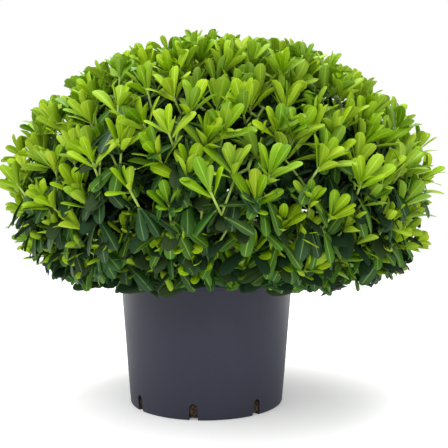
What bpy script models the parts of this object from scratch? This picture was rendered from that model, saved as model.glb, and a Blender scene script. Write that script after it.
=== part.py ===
"""Potted pittosporum: a dense dwarf shrub in a turned nursery pot.

Metres, +Z up. The origin is the middle of the pot's flat underside, and the front is -Y.
A short leaning stem carries tiers of boughs. Each bough ends where it enters a mass of
foliage, and each mass keeps to its own space, a cone seen from the middle of the crown.
"""

import math
import random
from collections import namedtuple

import bmesh
import bpy
from mathutils import Matrix, Vector
from mathutils.bvhtree import BVHTree

# Clearances
SEAT_GAP = 0.0003
POT_CLEARANCE = 0.004
SPACE_MARGIN = 0.0006

# Pot
POT_HEIGHT = 0.192
POT_TOP_RADIUS = 0.139
POT_FOOT_RADIUS = 0.1225
POT_WALL = 0.0022
POT_FLOOR = 0.0025
POT_FOOT_CHAMFER = 0.0015
RIM_PROUD = 0.0013
RIM_HEIGHT = 0.006
POT_SEGMENTS = 40
SLOT_COUNT = 8
SLOT_FIRST_DEGREES = -9.0
SLOT_WIDTH = 0.0115
SLOT_HEIGHT = 0.024
SLOT_DEPTH = 0.016
SLOT_ARCH_STEPS = 6

# Potting soil
SOIL_TOP = 0.178
SOIL_EDGE_DROP = 0.005
SOIL_EDGE_WIDTH = 0.012

# Stem
STEM_HEIGHT = 0.094
STEM_LEAN = 0.010
STEM_FOOT_RADIUS = 0.0165
STEM_TOP_RADIUS = 0.0115
FLARE_RADIUS = 0.0235
FLARE_HEIGHT = 0.020
STEM_STEPS = 7
STEM_STEP_GROWTH = 1.35
STEM_FOOT_STUB = 0.001
STEM_RESOLUTION = 3
SEAT_PROBES = 12
SEAT_TRIES = 40

# Crown: an upright rounded body, flatter below than above
CROWN_CENTRE = Vector((0.026, 0.0, 0.332))
CROWN_SIDE = 0.360
CROWN_FRONT = 0.334
CROWN_UP = 0.262
CROWN_DOWN = 0.192
CROWN_ROUNDNESS = 1.95
CROWN_SQUARENESS = 2.3

# Tiers of masses. Elevation, first azimuth and the angle of old leaves from their shoot are in
# degrees, height is where the boughs leave the stem, radius is theirs there, and lift is the
# upward share of a shoot's direction.
Tier = namedtuple(
    "Tier", "name count elevation azimuth height radius shoots lift young old old_angle colour"
)
TIERS = (
    Tier("top", 1, 90.0, 0.0, STEM_HEIGHT, 0.0085, 6, 0.5, 3, 2, 74.0, (0.30, 0.46, 0.03)),
    Tier("upper", 6, 47.0, -60.0, 0.079, 0.0054, 5, 0.5, 3, 2, 76.0, (0.25, 0.42, 0.03)),
    Tier("middle", 8, 13.0, -90.0, 0.054, 0.0045, 6, 0.6, 3, 2, 84.0, (0.17, 0.33, 0.03)),
    Tier("skirt", 8, -23.0, -67.5, 0.028, 0.0043, 5, 0.35, 2, 3, 106.0, (0.05, 0.15, 0.02)),
)

# Boughs: shares of the crown's reach, and sizes
BOUGH_END = 0.45
BOUGH_STUB = 0.007
BOUGH_TIP_RADIUS = 0.0034
BOUGH_BOW = 0.42
BOUGH_STEPS = 3
BOUGH_RESOLUTION = 1

# Foliage: shares of the crown's reach, angles in degrees and sizes
SPACE_INNER = 0.49
CORE_INNER = 0.53
CORE_OUTER = 0.71
CORE_MIDDLE = 0.61
CORE_WIDTH = 0.128
CORE_STEP = 0.94
CORE_ROUGHNESS = 0.13
FORK_AT = 0.58
FORK_SHARE = 0.45
SHOOT_SPREAD = 0.39
SHOOT_INSET = 0.015
SHOOT_CROWDING = 0.35
SHOOT_STEP = 0.93
SHOOT_NEAREST = 0.05
SHOOT_DEPTH = (0.045, 0.066)
TWIG_RADIUS = 0.0034
TWIG_TIP_RADIUS = 0.0026
TWIG_THINNING = 0.82
TWIG_SINK = 0.003
SHOOT_STIFFNESS = 0.7
YOUNG_ANGLE = 41.0
LEAF_TRIES = 10
LEAF_LEAN = 9.0
LEAF_SIZES = (0.88, 1.08)
LEAF_SINK = 0.0025
LEAF_STAGGER = 0.0034
YOUNG_LENGTH = 0.062
OLD_LENGTH = 0.070
LEAF_SLIMNESS = 0.43
LEAF_KEEL = 0.0022
LEAF_DROOP = 0.006
LEAF_OUTLINE = ((0.0, 0.0), (0.63, 0.5), (0.985, 0.2), (0.985, -0.2), (0.63, -0.5))
LEAF_CREST = 0.45
GOLDEN_ANGLE = math.pi * (3.0 - math.sqrt(5.0))
NEARLY_UPRIGHT = 0.9
SEED = 7400


def clear_scene():
    """Remove every object that the file starts with."""
    for thing in list(bpy.data.objects):
        bpy.data.objects.remove(thing)


def make_collection(name):
    """Make a collection under the scene."""
    collection = bpy.data.collections.new(name)
    bpy.context.scene.collection.children.link(collection)
    return collection


def make_material(name, colour, roughness):
    """Make a plain finish of one colour."""
    material = bpy.data.materials.new(name)
    material.use_nodes = True
    shader = material.node_tree.nodes["Principled BSDF"]
    shader.inputs["Base Color"].default_value = (*colour, 1.0)
    shader.inputs["Roughness"].default_value = roughness
    shader.inputs["Metallic"].default_value = 0.0
    return material


def mesh_object(name, bm, collection, material):
    """Turn a bmesh into an object with a material."""
    mesh = bpy.data.meshes.new(name)
    bm.to_mesh(mesh)
    bm.free()
    mesh.materials.append(material)
    thing = bpy.data.objects.new(name, mesh)
    collection.objects.link(thing)
    return thing


def turned(name, profile, collection, material):
    """Turn a closed profile of (radius, height) pairs, outer side first, about Z."""
    bm = bmesh.new()
    points = [bm.verts.new((radius, 0.0, height)) for radius, height in profile]
    for first, second in zip(points, points[1:]):
        bm.edges.new((first, second))
    thing = mesh_object(name, bm, collection, material)
    spin = thing.modifiers.new("Turn", "SCREW")
    spin.axis = "Z"
    spin.angle = math.tau
    spin.steps = POT_SEGMENTS
    spin.render_steps = POT_SEGMENTS
    spin.use_merge_vertices = True
    spin.merge_threshold = 0.0001
    spin.use_smooth_shade = True
    return thing


def wall_radius(height):
    """Outer radius of the pot's plain wall at a height."""
    return POT_FOOT_RADIUS + (POT_TOP_RADIUS - POT_FOOT_RADIUS) * height / POT_HEIGHT


def slot_cutter(index, collection, material):
    """Make the arched prism that cuts one drainage slot through the wall and the floor's edge."""
    half = SLOT_WIDTH / 2
    below = -POT_FLOOR
    outline = [(half, below)]
    for step in range(SLOT_ARCH_STEPS + 1):
        turn = math.pi * step / SLOT_ARCH_STEPS
        outline.append((half * math.cos(turn), SLOT_HEIGHT - half + half * math.sin(turn)))
    outline.append((-half, below))
    inner = POT_FOOT_RADIUS - SLOT_DEPTH
    bm = bmesh.new()
    face = bm.faces.new([bm.verts.new((inner, side, height)) for side, height in outline])
    grown = bmesh.ops.extrude_face_region(bm, geom=[face])
    moved = [item for item in grown["geom"] if isinstance(item, bmesh.types.BMVert)]
    bmesh.ops.translate(bm, verts=moved, vec=(2 * SLOT_DEPTH, 0.0, 0.0))
    bmesh.ops.recalc_face_normals(bm, faces=bm.faces)
    cutter = mesh_object(f"slot_cutter_{index + 1}", bm, collection, material)
    turn = SLOT_FIRST_DEGREES + index * 360.0 / SLOT_COUNT
    cutter.rotation_euler.z = math.radians(turn)
    cutter.hide_render = True
    cutter.display_type = "WIRE"
    return cutter


def make_pot(collection, cutters, material):
    """Turn the pot and cut its drainage slots."""
    outer = POT_TOP_RADIUS + RIM_PROUD
    inner_floor = wall_radius(POT_FLOOR) - POT_WALL
    inner_top = POT_TOP_RADIUS - POT_WALL
    under_rim = POT_HEIGHT - RIM_HEIGHT
    profile = (
        (outer - POT_WALL / 2, POT_HEIGHT),
        (outer, POT_HEIGHT - POT_WALL / 2),
        (outer, under_rim),
        (wall_radius(under_rim - RIM_PROUD), under_rim - RIM_PROUD),
        (wall_radius(POT_FOOT_CHAMFER), POT_FOOT_CHAMFER),
        (POT_FOOT_RADIUS - POT_FOOT_CHAMFER, 0.0),
        (0.0, 0.0),
        (0.0, POT_FLOOR),
        (inner_floor, POT_FLOOR),
        (inner_top, POT_HEIGHT),
        (outer - POT_WALL / 2, POT_HEIGHT),
    )
    pot = turned("pot", profile, collection, material)
    for index in range(SLOT_COUNT):
        cut = pot.modifiers.new(f"Slot {index + 1}", "BOOLEAN")
        cut.operation = "DIFFERENCE"
        cut.object = slot_cutter(index, cutters, material)
    return pot


def make_soil(collection, material):
    """Turn the potting soil that fills the pot up to a shallow edge."""
    bottom = POT_FLOOR + SEAT_GAP
    edge = SOIL_TOP - SOIL_EDGE_DROP
    side = wall_radius(edge) - POT_WALL - SEAT_GAP
    profile = (
        (0.0, SOIL_TOP),
        (side - SOIL_EDGE_WIDTH, SOIL_TOP),
        (side, edge),
        (wall_radius(bottom) - POT_WALL - SEAT_GAP, bottom),
        (0.0, bottom),
    )
    return turned("potting_soil", profile, collection, material)


def make_limb(name, points, radii, resolution, collection, material):
    """Make one tapering limb along a row of points."""
    curve = bpy.data.curves.new(name, "CURVE")
    curve.dimensions = "3D"
    curve.bevel_depth = 1.0
    curve.bevel_resolution = resolution
    curve.render_resolution_u = 0
    curve.use_fill_caps = True
    spline = curve.splines.new("POLY")
    spline.points.add(len(points) - 1)
    for place, point, radius in zip(spline.points, points, radii):
        place.co = (*point, 1.0)
        place.radius = radius
    spline.use_smooth = True
    curve.materials.append(material)
    limb = bpy.data.objects.new(name, curve)
    collection.objects.link(limb)
    return limb


def stem_axis(height):
    """Point on the stem's axis at a height above the soil: upright at its foot, then leaning."""
    share = height / STEM_HEIGHT
    return Vector((STEM_LEAN * share * share, 0.0, SOIL_TOP + SEAT_GAP + height))


def stem_radius(height):
    """Radius of the stem at a height above the soil, with its root flare."""
    taper = STEM_FOOT_RADIUS + (STEM_TOP_RADIUS - STEM_FOOT_RADIUS) * height / STEM_HEIGHT
    flare = max(0.0, 1.0 - height / FLARE_HEIGHT)
    return taper + (FLARE_RADIUS - STEM_FOOT_RADIUS) * flare * flare


def make_stem(collection, material):
    """Make the stem, from its flat foot on the soil to its top fork."""
    shares = [(step / STEM_STEPS) ** STEM_STEP_GROWTH for step in range(STEM_STEPS + 1)]
    heights = [STEM_HEIGHT * share for share in shares]
    points = [stem_axis(height) for height in heights]
    points.insert(1, points[0] + Vector((0.0, 0.0, STEM_FOOT_STUB)))
    radii = [stem_radius(height) for height in heights]
    radii.insert(1, radii[0])
    return make_limb("stem", points, radii, STEM_RESOLUTION, collection, material)


def surface_tree(thing):
    """Search tree over an object's evaluated surface."""
    graph = bpy.context.evaluated_depsgraph_get()
    return BVHTree.FromObject(thing, graph)


def seat_point(tree, middle, outward, radius):
    """Middle of a round limb end that stands the seat gap clear of a surface."""
    up = Vector((0.0, 0.0, 1.0))
    side = outward.cross(up)
    ring = [Vector((0.0, 0.0, 0.0))]
    for step in range(SEAT_PROBES):
        turn = math.tau * step / SEAT_PROBES
        ring.append(radius * (math.cos(turn) * side + math.sin(turn) * up))
    away = 3 * FLARE_RADIUS
    for _ in range(SEAT_TRIES):
        nearest = min(tree.find_nearest(middle + away * outward + spot)[3] for spot in ring)
        away -= nearest - SEAT_GAP
    return middle + away * outward


def bent(start, leaving, end, arriving):
    """Points on a smooth bend that leaves one place and reaches another in given directions."""
    handle = BOUGH_BOW * (end - start).length
    first = start + handle * leaving
    last = end - handle * arriving
    points = []
    for step in range(BOUGH_STEPS + 1):
        share = step / BOUGH_STEPS
        rest = 1.0 - share
        points.append(
            rest**3 * start
            + 3 * rest * rest * share * first
            + 3 * rest * share * share * last
            + share**3 * end
        )
    return points


def crown_reach(direction):
    """Distance from the crown's centre to its outline along a direction of length 1."""
    rising = direction.z > 0.0
    power = CROWN_ROUNDNESS if rising else CROWN_SQUARENESS
    upright = CROWN_UP if rising else CROWN_DOWN
    level = math.hypot(direction.x / CROWN_SIDE, direction.y / CROWN_FRONT)
    return (level**power + abs(direction.z / upright) ** power) ** (-1.0 / power)


def crown_share(point):
    """How far out a point lies, as a share of the crown's reach that way."""
    offset = point - CROWN_CENTRE
    return offset.length / crown_reach(offset.normalized())


def polar(elevation, azimuth):
    """Direction of length 1 from angles in degrees."""
    rise, turn = math.radians(elevation), math.radians(azimuth)
    level = math.cos(rise)
    return Vector((level * math.cos(turn), level * math.sin(turn), math.sin(rise)))


class Mass:
    """One mass of foliage and the space that it keeps to."""

    def __init__(self, tier, index, material, seed):
        number = "" if tier.count == 1 else f"_{index + 1}"
        self.tier = tier
        self.material = material
        self.name = f"foliage_{tier.name}{number}"
        self.bough_name = f"bough_{tier.name}{number}"
        self.direction = polar(tier.elevation, tier.azimuth + index * 360.0 / tier.count)
        self.chance = random.Random(seed)
        self.reach = crown_reach(self.direction)
        self.walls = []
        self.pieces = []
        self.surfaces = []
        self.rosettes = []

    def set_walls(self, directions):
        """Stand a wall through the crown's centre midway to each other mass."""
        for other in directions:
            if (other - self.direction).length > 0.001:
                self.walls.append((self.direction - other).normalized())

    def along(self, share):
        """Point on the mass's own line at a share of its reach."""
        return CROWN_CENTRE + share * self.reach * self.direction

    def holds(self, point, margin):
        """Whether a point lies inside the walls by a margin, and past the bough's tip."""
        offset = point - CROWN_CENTRE
        if offset.dot(self.direction) < SPACE_INNER * self.reach:
            return False
        return all(offset.dot(wall) > margin for wall in self.walls)

    def keeps(self, points):
        """Whether a flat group of points lies in the mass's space and clear of the pot."""
        if not all(self.holds(point, SPACE_MARGIN) for point in points):
            return False
        if any(crown_share(point) > 1.0 for point in points):
            return False
        if min(point.z for point in points) > POT_HEIGHT + POT_CLEARANCE:
            return True
        middle = sum(points, Vector()) / len(points)
        outward = Vector((middle.x, middle.y, 0.0)).normalized()
        nearest = min(point.dot(outward) for point in points)
        return nearest > POT_TOP_RADIUS + RIM_PROUD + POT_CLEARANCE


def across(axis, turn):
    """Direction square to an axis, turned about it."""
    guide = Vector((0.0, 0.0, 1.0)) if abs(axis.z) < NEARLY_UPRIGHT else Vector((1.0, 0.0, 0.0))
    side = axis.cross(guide).normalized()
    return math.cos(turn) * side + math.sin(turn) * axis.cross(side)


def framed(origin, along, upper):
    """Matrix that lays X along a direction with Z near another."""
    side = upper.cross(along).normalized()
    face = along.cross(side)
    turn = Matrix((along, side, face)).transposed().to_4x4()
    return Matrix.Translation(origin) @ turn


def add_piece(mass, bm, pieces):
    """Keep a loose piece of a mass for the union, and return the search tree of its surface."""
    name = f"{mass.name}_piece_{len(mass.pieces) + 1}"
    surface = BVHTree.FromBMesh(bm)
    mass.surfaces.append(surface)
    mass.pieces.append(mesh_object(name, bm, pieces, mass.material))
    return surface


def add_twig(mass, start, end, first_radius, last_radius, pieces):
    """Add a three-sided twig, its foot sunk into what it grows from, and return its surface."""
    along = (end - start).normalized()
    start = start - TWIG_SINK * along
    bm = bmesh.new()
    length = (end - start).length
    bmesh.ops.create_cone(
        bm,
        cap_ends=True,
        segments=3,
        radius1=first_radius,
        radius2=last_radius,
        depth=length,
        matrix=Matrix.Translation((0.0, 0.0, length / 2)),
    )
    turn = Vector((0.0, 0.0, 1.0)).rotation_difference(along).to_matrix().to_4x4()
    bmesh.ops.transform(bm, matrix=Matrix.Translation(start) @ turn, verts=bm.verts)
    return add_piece(mass, bm, pieces)


def leaf_blank(length, droop):
    """Blunt leaf, widest past its middle, that bends down at its widest line and has a keel."""
    bm = bmesh.new()
    sides = len(LEAF_OUTLINE)
    bmesh.ops.create_cone(
        bm, cap_ends=True, segments=sides, radius1=1.0, radius2=0.0, depth=1.0
    )
    keel = max(bm.verts, key=lambda vert: vert.co.z)
    rim = [vert for vert in bm.verts if vert is not keel]
    rim.sort(key=lambda vert: math.atan2(vert.co.y, vert.co.x))
    width = LEAF_SLIMNESS * length
    for vert, (forward, sideways) in zip(rim, LEAF_OUTLINE):
        vert.co = (forward * length, sideways * width, -droop * forward * forward)
    keel.co = (LEAF_CREST * length, 0.0, -LEAF_KEEL - droop * LEAF_CREST)
    bmesh.ops.connect_verts(bm, verts=[rim[1], rim[-1]])
    bmesh.ops.recalc_face_normals(bm, faces=bm.faces)
    return bm


def add_leaf(mass, shoot, root, axis, angle, turn, length, droop, pieces):
    """Add a leaf where it is free of all but its shoot, and say whether it was added."""
    outward = across(axis, turn)
    along = (math.cos(angle) * axis + math.sin(angle) * outward).normalized()
    upper = (math.sin(angle) * axis - math.cos(angle) * outward).normalized()
    bm = leaf_blank(length, droop)
    bmesh.ops.transform(bm, matrix=framed(root, along, upper), verts=bm.verts)
    surface = BVHTree.FromBMesh(bm)
    others = [other for other in mass.surfaces if other is not shoot]
    crossing = any(surface.overlap(other) for other in others)
    if crossing or not mass.keeps([vert.co for vert in bm.verts]):
        bm.free()
        return False
    add_piece(mass, bm, pieces)
    return True


def shoot_axis(mass, tip):
    """Direction that a shoot points in: outward, and partly up."""
    outward = (tip - CROWN_CENTRE).normalized()
    lift = mass.tier.lift
    return ((1.0 - lift) * outward + lift * Vector((0.0, 0.0, 1.0))).normalized()


def add_rosette(mass, shoot, start, tip, pieces):
    """Add a shoot's leaves: young leaves that rise round its tip, old leaves lower down."""
    chance = mass.chance
    back = (start - tip).normalized()
    axis = (shoot_axis(mass, tip) - SHOOT_STIFFNESS * back).normalized()
    turn = chance.uniform(0.0, math.tau)
    kinds = (
        (mass.tier.young, YOUNG_ANGLE, YOUNG_LENGTH, 0.0),
        (mass.tier.old, mass.tier.old_angle, OLD_LENGTH, LEAF_DROOP),
    )
    placed = 0
    for count, angle, length, droop in kinds:
        wanted = placed + count
        for _ in range(LEAF_TRIES):
            if placed == wanted:
                break
            turn += GOLDEN_ANGLE
            lean = math.radians(angle + chance.uniform(-LEAF_LEAN, LEAF_LEAN))
            size = length * chance.uniform(*LEAF_SIZES)
            root = tip + (LEAF_SINK + placed * LEAF_STAGGER) * back
            if add_leaf(mass, shoot, root, axis, lean, turn, size, droop, pieces):
                placed += 1


def shoot_tips(mass):
    """Places of a mass's shoot tips, spread evenly over its part of the crown."""
    tips = []
    phase = mass.chance.uniform(0.0, math.tau)
    for index in range(mass.tier.shoots):
        spread = SHOOT_SPREAD * math.sqrt((index + SHOOT_CROWDING) / mass.tier.shoots)
        outward = across(mass.direction, phase + index * GOLDEN_ANGLE)
        while True:
            direction = (mass.direction + math.tan(spread) * outward).normalized()
            depth = mass.chance.uniform(*SHOOT_DEPTH)
            tip = CROWN_CENTRE + (crown_reach(direction) - depth) * direction
            if mass.holds(tip, SHOOT_INSET) or spread < SHOOT_NEAREST:
                break
            spread *= SHOOT_STEP
        tips.append(tip)
    return tips


def grow(mass, start, tips, radius, pieces):
    """Fork a twig towards its shoot tips until each tip has a twig of its own."""
    if len(tips) == 1:
        shoot = add_twig(mass, start, tips[0], radius, TWIG_TIP_RADIUS, pieces)
        mass.rosettes.append((shoot, start, tips[0]))
        return
    pairs = [(one, two) for one in tips for two in tips]
    one, two = max(pairs, key=lambda pair: (pair[0] - pair[1]).length)
    ordered = sorted(tips, key=lambda tip: tip.dot(two - one))
    half = (len(ordered) + mass.chance.randint(0, 1)) // 2
    for group in (ordered[:half], ordered[half:]):
        if len(group) == 1:
            grow(mass, start, group, radius * TWIG_THINNING, pieces)
            continue
        fork = start.lerp(sum(group, Vector()) / len(group), FORK_SHARE)
        thinner = radius * TWIG_THINNING
        add_twig(mass, start, fork, radius, thinner, pieces)
        grow(mass, fork, group, thinner, pieces)


def add_core(mass, pieces):
    """Add the rounded core of packed inner leaves that the shoots stand out of."""
    centre = mass.along(CORE_MIDDLE)
    bm = bmesh.new()
    bmesh.ops.create_icosphere(bm, subdivisions=2, radius=1.0)
    for vert in bm.verts:
        way = vert.co.normalized()
        size = CORE_WIDTH
        rough = 1.0 - mass.chance.uniform(0.0, CORE_ROUGHNESS)
        while True:
            point = centre + size * way
            depth = (point - CROWN_CENTRE).dot(mass.direction)
            inside = depth > CORE_INNER * mass.reach and crown_share(point) < CORE_OUTER
            if inside and mass.holds(point, SPACE_MARGIN):
                break
            size *= CORE_STEP
        vert.co = centre + rough * size * way
    add_piece(mass, bm, pieces)


def keep_largest(mesh):
    """Drop sealed hollows and loose scraps, so that one outer body is left."""
    bm = bmesh.new()
    bm.from_mesh(mesh)
    waiting = set(bm.faces)
    groups = []
    while waiting:
        front = [waiting.pop()]
        group = list(front)
        while front:
            face = front.pop()
            for edge in face.edges:
                for near in edge.link_faces:
                    if near in waiting:
                        waiting.remove(near)
                        front.append(near)
                        group.append(near)
        groups.append(group)
    groups.sort(key=len)
    loose = [face for group in groups[:-1] for face in group]
    bmesh.ops.delete(bm, geom=loose, context="FACES")
    bmesh.ops.triangulate(bm, faces=bm.faces)
    bm.to_mesh(mesh)
    bm.free()


def fuse(mass, collection, pieces):
    """Join a mass's pieces into one body and remove the pieces."""
    first = mass.pieces[0]
    collection.objects.link(first)
    pieces.objects.unlink(first)
    first.name = mass.name
    union = first.modifiers.new("Union", "BOOLEAN")
    union.operation = "UNION"
    union.operand_type = "COLLECTION"
    union.collection = pieces
    union.solver = "EXACT"
    graph = bpy.context.evaluated_depsgraph_get()
    mesh = bpy.data.meshes.new_from_object(first.evaluated_get(graph))
    mesh.name = mass.name
    first.modifiers.clear()
    first.data = mesh
    keep_largest(mesh)
    mesh.materials.clear()
    mesh.materials.append(mass.material)
    for piece in list(pieces.objects):
        bpy.data.objects.remove(piece)
    return first


def make_bough(mass, tree, collection, material):
    """Make the limb from the stem to the point where it enters its mass."""
    radius = mass.tier.radius
    if mass.direction.z < NEARLY_UPRIGHT:
        leaving = Vector((mass.direction.x, mass.direction.y, 0.0)).normalized()
        start = seat_point(tree, stem_axis(mass.tier.height), leaving, radius)
    else:
        leaving = (stem_axis(STEM_HEIGHT) - stem_axis(0.9 * STEM_HEIGHT)).normalized()
        start = stem_axis(STEM_HEIGHT) + SEAT_GAP * leaving
    end = mass.along(BOUGH_END)
    first = start + BOUGH_STUB * leaving
    last = end - BOUGH_STUB * mass.direction
    points = [start, *bent(first, leaving, last, mass.direction), end]
    thinning = (BOUGH_TIP_RADIUS - radius) / (len(points) - 1)
    radii = [radius + thinning * index for index in range(len(points))]
    return make_limb(mass.bough_name, points, radii, BOUGH_RESOLUTION, collection, material)


def make_foliage(mass, collection, pieces):
    """Make a mass: its stem, its forking twigs, its core and its leaves, joined in one body."""
    foot = mass.along(BOUGH_END) + (SEAT_GAP + TWIG_SINK) * mass.direction
    fork = mass.along(FORK_AT)
    add_twig(mass, foot, fork, BOUGH_TIP_RADIUS, TWIG_RADIUS, pieces)
    add_core(mass, pieces)
    grow(mass, fork, shoot_tips(mass), TWIG_RADIUS, pieces)
    for shoot, start, tip in mass.rosettes:
        add_rosette(mass, shoot, start, tip, pieces)
    return fuse(mass, collection, pieces)


def main():
    """Build the pot, the soil, the stem, the boughs and the masses of foliage."""
    clear_scene()
    plant = make_collection("potted_pittosporum")
    cutters = make_collection("cutters")
    pieces = make_collection("foliage_pieces")
    plastic = make_material("slate_plastic", (0.068, 0.072, 0.098), 0.45)
    earth = make_material("potting_soil", (0.045, 0.028, 0.018), 0.95)
    bark = make_material("bark", (0.16, 0.12, 0.085), 0.85)
    make_pot(plant, cutters, plastic)
    make_soil(plant, earth)
    tree = surface_tree(make_stem(plant, bark))
    masses = []
    for tier in TIERS:
        green = make_material(f"{tier.name}_foliage", tier.colour, 0.42)
        for index in range(tier.count):
            masses.append(Mass(tier, index, green, SEED + 100 * len(masses)))
    directions = [mass.direction for mass in masses]
    for mass in masses:
        mass.set_walls(directions)
        make_bough(mass, tree, plant, bark)
        make_foliage(mass, plant, pieces)
    bpy.data.collections.remove(pieces)


main()
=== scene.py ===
"""Potted pittosporum: the looks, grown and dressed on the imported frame.

Metres, +Z up, and the front is -Y. The crown repeats the source's rule on a finer scale: shoots
stand evenly over the crown's outline, each belongs to the nearest mass, forking twigs lead to it
from that mass's bough, and it carries young leaves round its tip and older ones lower down.
"""

import logging
import math
import random
from collections.abc import Callable
from dataclasses import dataclass, field
from enum import Enum

import bmesh
import bpy
import numpy as np
from mathutils import Matrix, Vector, noise


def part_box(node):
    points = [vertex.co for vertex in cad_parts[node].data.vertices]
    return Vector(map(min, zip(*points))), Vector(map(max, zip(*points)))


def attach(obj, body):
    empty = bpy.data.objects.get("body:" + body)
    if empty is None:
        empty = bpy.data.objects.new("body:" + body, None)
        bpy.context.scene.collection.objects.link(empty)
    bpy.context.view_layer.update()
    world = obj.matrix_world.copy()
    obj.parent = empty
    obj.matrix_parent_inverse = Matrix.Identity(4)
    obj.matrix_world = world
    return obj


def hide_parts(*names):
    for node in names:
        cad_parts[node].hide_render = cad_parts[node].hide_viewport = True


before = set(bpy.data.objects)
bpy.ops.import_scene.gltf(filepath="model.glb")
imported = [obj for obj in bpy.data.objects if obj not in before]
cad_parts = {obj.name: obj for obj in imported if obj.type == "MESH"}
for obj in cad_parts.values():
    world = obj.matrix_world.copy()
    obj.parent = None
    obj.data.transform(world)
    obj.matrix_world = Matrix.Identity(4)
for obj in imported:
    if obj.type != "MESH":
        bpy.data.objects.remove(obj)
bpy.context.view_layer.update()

LOG = logging.getLogger("potted_pittosporum")
SEED = 7400
GOLDEN_ANGLE = math.pi * (3.0 - math.sqrt(5.0))
# Upright share from which a direction counts as upright, and distance within which points merge.
NEARLY_UPRIGHT = 0.9
MERGE = 0.00005
UP = Vector((0.0, 0.0, 1.0))
WHITE = (1.0, 1.0, 1.0, 1.0)
Triple = tuple[float, float, float]
Colour = Triple
Route = Callable[[float], tuple[Vector, float]]


def polar(elevation: float, azimuth: float) -> Vector:
    """Direction of length 1 from angles in degrees."""
    rise, turn = math.radians(elevation), math.radians(azimuth)
    level = math.cos(rise)
    return Vector((level * math.cos(turn), level * math.sin(turn), math.sin(rise)))


def across(axis: Vector, turn: float) -> Vector:
    """Direction square to an axis, turned about it."""
    guide = UP if abs(axis.z) < NEARLY_UPRIGHT else Vector((1.0, 0.0, 0.0))
    side = axis.cross(guide).normalized()
    return math.cos(turn) * side + math.sin(turn) * axis.cross(side)


def spun(profile: list[tuple[float, float]], steps: int) -> bmesh.types.BMesh:
    """Spin a profile about Z into a closed mesh.

    Args:
        profile: radius and height of its points.
        steps: sides of the round.

    Returns:
        The mesh, merged at the axis and along the seam.
    """
    bm = bmesh.new()
    points = [bm.verts.new((radius, 0.0, level)) for radius, level in profile]
    edges = [bm.edges.new(pair) for pair in zip(points, points[1:])]
    bmesh.ops.spin(
        bm, geom=[*points, *edges], cent=(0, 0, 0), axis=(0, 0, 1), angle=math.tau,
        steps=steps, use_merge=True,
    )
    bmesh.ops.remove_doubles(bm, verts=bm.verts, dist=MERGE)
    bmesh.ops.recalc_face_normals(bm, faces=bm.faces)
    return bm


def placed(data: bpy.types.ID, *materials: bpy.types.Material) -> bpy.types.Object:
    """Put a mesh, light or camera in the scene.

    Args:
        data: the mesh, light or camera, whose name the object takes.
        *materials: a mesh's materials.

    Returns:
        The object.
    """
    for material in materials:
        data.materials.append(material)
    thing = bpy.data.objects.new(data.name, data)
    bpy.context.scene.collection.objects.link(thing)
    return thing


def as_mesh(name: str, bm: bmesh.types.BMesh) -> bpy.types.Mesh:
    """Turn a bmesh into a mesh and free it."""
    mesh = bpy.data.meshes.new(name)
    bm.to_mesh(mesh)
    bm.free()
    return mesh


class Wire:
    """A shader socket that takes part in Python expressions."""

    def __init__(self, tree: bpy.types.NodeTree, socket: bpy.types.NodeSocket) -> None:
        """Wrap an output socket of a node tree."""
        self.tree = tree
        self.socket = socket

    def _math(self, operation: str, first: object, second: object) -> "Wire":
        """Add a Math node.

        Args:
            operation: the Math node's operation.
            first: a Wire or a number.
            second: a Wire or a number.

        Returns:
            The node's result.
        """
        node = self.tree.nodes.new("ShaderNodeMath")
        node.operation = operation
        for place, value in zip(node.inputs, (first, second)):
            supply(place, value)
        return Wire(self.tree, node.outputs[0])

    def __add__(self, other: object) -> "Wire":
        """Sum of this and a number or Wire."""
        return self._math("ADD", self, other)

    def __radd__(self, other: object) -> "Wire":
        """Sum of a number and this."""
        return self._math("ADD", other, self)

    def __sub__(self, other: object) -> "Wire":
        """This less a number or Wire."""
        return self._math("SUBTRACT", self, other)

    def __rsub__(self, other: object) -> "Wire":
        """A number less this."""
        return self._math("SUBTRACT", other, self)

    def __mul__(self, other: object) -> "Wire":
        """Product of this and a number or Wire."""
        return self._math("MULTIPLY", self, other)

    def __rmul__(self, other: object) -> "Wire":
        """Product of a number and this."""
        return self._math("MULTIPLY", other, self)


def supply(place: bpy.types.NodeSocket, value: object) -> None:
    """Link an input to a Wire, or set its constant."""
    if isinstance(value, Wire):
        value.tree.links.new(value.socket, place)
    else:
        place.default_value = value


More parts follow.
